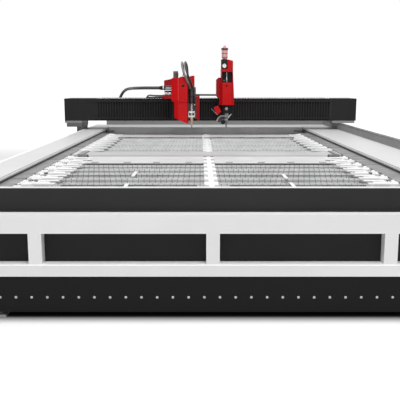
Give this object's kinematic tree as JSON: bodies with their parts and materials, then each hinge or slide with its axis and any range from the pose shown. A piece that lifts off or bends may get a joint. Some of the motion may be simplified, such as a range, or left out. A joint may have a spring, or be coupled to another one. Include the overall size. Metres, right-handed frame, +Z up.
{
  "type": "gantry waterjet cutting machine",
  "caption": "Long open water tank with a slatted cutting bed, a gantry beam across it and a straight and a swivelling waterjet cutting head that travel along the beam.",
  "frame": {"origin": "on the floor under the centre of the machine's outer box", "axes": "+Z up; the front end faces -Y; +X is to the right seen from the front"},
  "size_m": [4.69, 7.775, 2.216],
  "materials": {
    "stainless": "brushed, water-stained",
    "zinc_steel": "galvanised",
    "rail_steel": "ground",
    "bright_steel": "polished",
    "pale_paint": "satin",
    "silver_paint": "satin",
    "grey_paint": "satin",
    "black_paint": "fine textured",
    "motor_grey": "satin",
    "red_paint": "semi-gloss",
    "bellows_rubber": "matt folded fabric",
    "hose_rubber": "satin hose",
    "clear_plastic": "clear, filled with pinkish abrasive"
  },
  "bodies": {
    "tank": {"tank_floor": "stainless", "tank_wall_left": "stainless", "tank_wall_right": "stainless", "tank_wall_front": "stainless", "tank_wall_back": "stainless", "deck_left": "pale_paint", "deck_right": "pale_paint", "deck_back": "pale_paint", "front_rim": "pale_paint", "guide_wall_right": "grey_paint", "guide_wall_back": "grey_paint", "bands": "black_paint", "backing_plates": "black_paint", "top_rails": "silver_paint", "bottom_rails": "silver_paint", "posts": "silver_paint", "skirts": "black_paint", "sills": "black_paint", "base_beams": "black_paint", "levelling_feet": "zinc_steel", "left_rail": "rail_steel", "right_rail": "rail_steel", "mid_crossbeam": "zinc_steel", "crossbeam_brackets": "grey_paint", "comb_plates": "zinc_steel", "spine": "stainless", "spine_feet": "zinc_steel", "side_grips": "stainless"},
    "gantry": {"gantry_beam": "black_paint", "end_covers": "black_paint", "bellows_cover": "bellows_rubber", "head_rails": "black_paint", "left_leg": "grey_paint", "left_drive_box": "grey_paint", "left_saddle": "pale_paint", "right_carriage": "grey_paint"},
    "left_cross_slide": {"left_head_plate": "black_paint"},
    "left_head": {"left_housing": "red_paint", "left_side_box": "red_paint", "left_motor": "motor_grey", "left_connectors": "bright_steel", "left_cutting_head": "bright_steel", "left_valve": "black_paint", "left_bracket": "black_paint", "left_guard_plate": "red_paint", "left_hose_grey": "hose_rubber", "left_hose_black": "hose_rubber", "left_conduit": "hose_rubber", "left_conduit_end": "black_paint"},
    "right_cross_slide": {"right_head_plate": "black_paint", "right_conduit": "hose_rubber", "right_conduit_end": "black_paint"},
    "right_head": {"right_housing": "red_paint", "right_side_box": "red_paint", "right_gauge_box": "black_paint", "right_hopper": "clear_plastic"},
    "wrist": {"right_wrist_drum": "black_paint", "right_wrist_box": "red_paint", "right_arc_link": "bright_steel"},
    "nozzle": {"right_nozzle": "bright_steel"}
  },
  "joints": [
    {"name": "gantry_travel", "type": "slide", "parent": "tank", "child": "gantry", "axis": [0, 1, 0], "range_m": [-5.44, 0.56]},
    {"name": "left_cross_travel", "type": "slide", "parent": "gantry", "child": "left_cross_slide", "axis": [1, 0, 0], "range_m": [-1.279, 0.08]},
    {"name": "left_lift", "type": "slide", "parent": "left_cross_slide", "child": "left_head", "axis": [0, 0, 1], "range_m": [-0.1, 0.09]},
    {"name": "right_cross_travel", "type": "slide", "parent": "gantry", "child": "right_cross_slide", "axis": [1, 0, 0], "range_m": [-0.08, 1.183]},
    {"name": "right_lift", "type": "slide", "parent": "right_cross_slide", "child": "right_head", "axis": [0, 0, 1], "range_m": [-0.1, 0.09]},
    {"name": "wrist_turn", "type": "hinge", "parent": "right_head", "child": "wrist", "pos_m": [0.248, 2, 1.2], "axis": [0, 0, 1], "range_deg": [-180, 180]},
    {"name": "nozzle_tilt", "type": "hinge", "parent": "wrist", "child": "nozzle", "pos_m": [0.193, 2, 1.055], "axis": [0, 1, 0], "range_deg": [-30, 45]}
  ]
}
